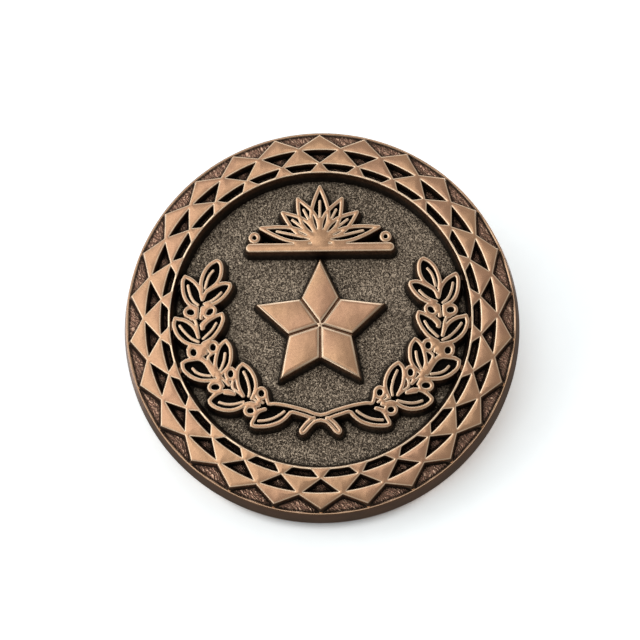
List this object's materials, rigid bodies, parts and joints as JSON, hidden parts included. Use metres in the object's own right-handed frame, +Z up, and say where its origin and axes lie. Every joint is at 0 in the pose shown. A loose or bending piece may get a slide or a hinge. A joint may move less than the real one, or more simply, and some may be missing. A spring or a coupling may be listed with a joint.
{
  "type": "round pin-back badge",
  "caption": "Round struck metal badge with a triangle border, laurel wreath and plain star in relief, held through cloth by pointed posts with squeeze-release butterfly clutches.",
  "frame": {"origin": "centre of the flat back face of the disc", "axes": "+Z up as worn, -Y out of the decorated face, +Y along the posts, +X to the right when looking at the face"},
  "size_m": [0.038, 0.0111, 0.038],
  "materials": {
    "antique_copper": "antique copper plating, satin on raised faces and blackened in the recesses",
    "post_steel": "bright nickel-plated wire",
    "solder": "dull grey solder",
    "clutch_brass": "bright stamped brass",
    "spring_bronze": "drawn phosphor bronze wire"
  },
  "bodies": {
    "badge": {"badge_body": "antique_copper", "post_left": "post_steel", "post_right": "post_steel", "solder_left": "solder", "solder_right": "solder"},
    "clutch_left": {"clutch_left_base": "clutch_brass", "clutch_left_cover": "clutch_brass", "clutch_left_spring": "spring_bronze"},
    "clutch_left_wing_outer": {"clutch_left_wing_outer": "clutch_brass"},
    "clutch_left_wing_inner": {"clutch_left_wing_inner": "clutch_brass"},
    "clutch_right": {"clutch_right_base": "clutch_brass", "clutch_right_cover": "clutch_brass", "clutch_right_spring": "spring_bronze"},
    "clutch_right_wing_outer": {"clutch_right_wing_outer": "clutch_brass"},
    "clutch_right_wing_inner": {"clutch_right_wing_inner": "clutch_brass"}
  },
  "joints": [
    {"name": "clutch_left_slide", "type": "slide", "parent": "badge", "child": "clutch_left", "axis": [0, 1, 0], "range_m": [0, 0.009]},
    {"name": "clutch_left_wing_outer_squeeze", "type": "hinge", "parent": "clutch_left", "child": "clutch_left_wing_outer", "pos_m": [-0.01155, 0.00195, 0.006], "axis": [0, 0, -1], "range_deg": [0, 10]},
    {"name": "clutch_left_wing_inner_squeeze", "type": "hinge", "parent": "clutch_left", "child": "clutch_left_wing_inner", "pos_m": [-0.00545, 0.00195, 0.006], "axis": [0, 0, 1], "range_deg": [0, 10]},
    {"name": "clutch_right_slide", "type": "slide", "parent": "badge", "child": "clutch_right", "axis": [0, 1, 0], "range_m": [0, 0.009]},
    {"name": "clutch_right_wing_outer_squeeze", "type": "hinge", "parent": "clutch_right", "child": "clutch_right_wing_outer", "pos_m": [0.01155, 0.00195, 0.006], "axis": [0, 0, 1], "range_deg": [0, 10]},
    {"name": "clutch_right_wing_inner_squeeze", "type": "hinge", "parent": "clutch_right", "child": "clutch_right_wing_inner", "pos_m": [0.00545, 0.00195, 0.006], "axis": [0, 0, -1], "range_deg": [0, 10]}
  ],
  "couplings": [
    {"joint": "clutch_left_wing_inner_squeeze", "follows": "clutch_left_wing_outer_squeeze", "ratio": 1},
    {"joint": "clutch_right_wing_inner_squeeze", "follows": "clutch_right_wing_outer_squeeze", "ratio": 1}
  ]
}
